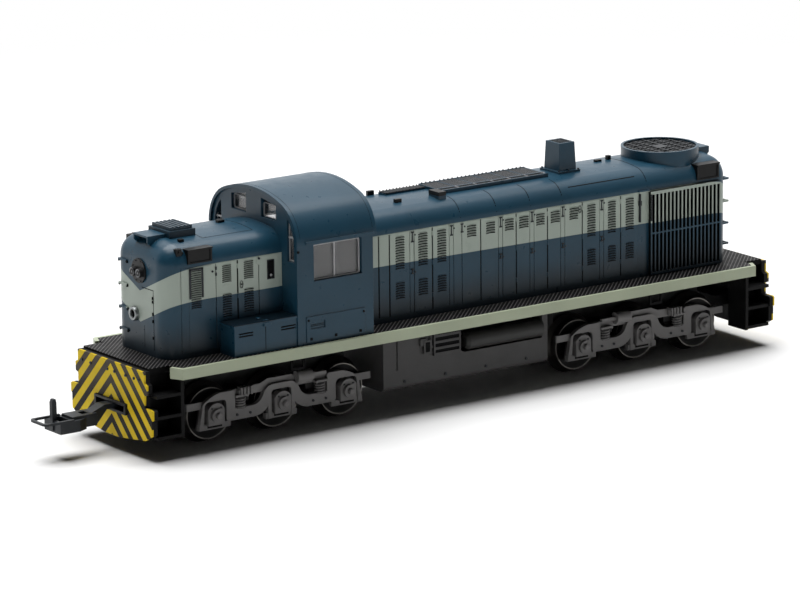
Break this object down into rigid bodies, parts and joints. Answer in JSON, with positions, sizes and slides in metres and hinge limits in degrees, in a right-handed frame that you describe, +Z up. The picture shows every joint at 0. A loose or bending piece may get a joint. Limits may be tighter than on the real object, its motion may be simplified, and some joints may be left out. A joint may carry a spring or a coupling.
{
  "type": "model locomotive",
  "caption": "Scale model of a diesel road-switcher with two hoods, an arched cab, swivelling trucks, turning wheelsets and a swinging hook coupler.",
  "frame": {"origin": "on the floor under the middle of the model's bounding box", "axes": "+X towards the short hood's end, +Y towards the left side, +Z up"},
  "size_m": [0.1912, 0.0358, 0.0529],
  "materials": {
    "body_blue": "matt painted moulding",
    "sill_grey": "matt painted moulding",
    "black_trim": "matt moulding",
    "pilot_yellow": "matt painted stripes",
    "truck_grey": "matt moulding",
    "frame_metal": "blackened casting",
    "motor_metal": "plain",
    "clear_glazing": "clear",
    "wheel_metal": "turned, darkened"
  },
  "bodies": {
    "chassis": {"underframe": "frame_metal", "walkway": "black_trim", "sill_left": "sill_grey", "sill_right": "sill_grey", "pilot_front": "pilot_yellow", "pilot_rear": "pilot_yellow", "short_hood": "body_blue", "long_hood": "body_blue", "cab_shell": "body_blue", "cab_roof": "body_blue", "cab_glazing": "clear_glazing", "motor_block": "motor_metal", "headlight_front": "black_trim", "headlight_rear": "black_trim", "number_board_front_left": "black_trim", "number_board_front_right": "black_trim", "number_board_rear_left": "black_trim", "number_board_rear_right": "black_trim", "nose_vent": "black_trim", "roof_hatch": "body_blue", "exhaust_stack": "body_blue", "fan_shroud": "body_blue", "fan_grille": "black_trim", "radiator_shutter_left": "body_blue", "radiator_shutter_right": "body_blue", "battery_box_left": "body_blue", "battery_box_right": "body_blue", "fuel_tank": "black_trim", "air_reservoir_left": "black_trim", "air_reservoir_right": "black_trim", "coupler_pocket_front": "black_trim", "coupler_pocket_rear": "black_trim"},
    "truck_front_body": {"truck_front": "truck_grey", "side_frame_front_left": "truck_grey", "side_frame_front_right": "truck_grey"},
    "truck_rear_body": {"truck_rear": "truck_grey", "side_frame_rear_left": "truck_grey", "side_frame_rear_right": "truck_grey"},
    "axle_1": {"wheelset_1": "wheel_metal"},
    "axle_2": {"wheelset_2": "wheel_metal"},
    "axle_3": {"wheelset_3": "wheel_metal"},
    "axle_4": {"wheelset_4": "wheel_metal"},
    "axle_5": {"wheelset_5": "wheel_metal"},
    "axle_6": {"wheelset_6": "wheel_metal"},
    "coupler": {"coupler_front": "black_trim"}
  },
  "joints": [
    {"name": "truck_front_swivel", "type": "hinge", "parent": "chassis", "child": "truck_front_body", "pos_m": [0.0408, 0, 0.0162], "axis": [0, 0, 1], "range_deg": [-7, 7]},
    {"name": "truck_rear_swivel", "type": "hinge", "parent": "chassis", "child": "truck_rear_body", "pos_m": [-0.0592, 0, 0.0162], "axis": [0, 0, 1], "range_deg": [-7, 7]},
    {"name": "axle_1_spin", "type": "hinge", "parent": "truck_front_body", "child": "axle_1", "pos_m": [0.0582, 0, 0.00685], "axis": [0, 1, 0], "continuous": true},
    {"name": "axle_2_spin", "type": "hinge", "parent": "truck_front_body", "child": "axle_2", "pos_m": [0.0408, 0, 0.00685], "axis": [0, 1, 0], "continuous": true},
    {"name": "axle_3_spin", "type": "hinge", "parent": "truck_front_body", "child": "axle_3", "pos_m": [0.0234, 0, 0.00685], "axis": [0, 1, 0], "continuous": true},
    {"name": "axle_4_spin", "type": "hinge", "parent": "truck_rear_body", "child": "axle_4", "pos_m": [-0.0418, 0, 0.00685], "axis": [0, 1, 0], "continuous": true},
    {"name": "axle_5_spin", "type": "hinge", "parent": "truck_rear_body", "child": "axle_5", "pos_m": [-0.0592, 0, 0.00685], "axis": [0, 1, 0], "continuous": true},
    {"name": "axle_6_spin", "type": "hinge", "parent": "truck_rear_body", "child": "axle_6", "pos_m": [-0.0766, 0, 0.00685], "axis": [0, 1, 0], "continuous": true},
    {"name": "coupler_front_swing", "type": "hinge", "parent": "chassis", "child": "coupler", "pos_m": [0.0708, 0, 0.0098], "axis": [0, 0, 1], "range_deg": [-15, 15]}
  ]
}
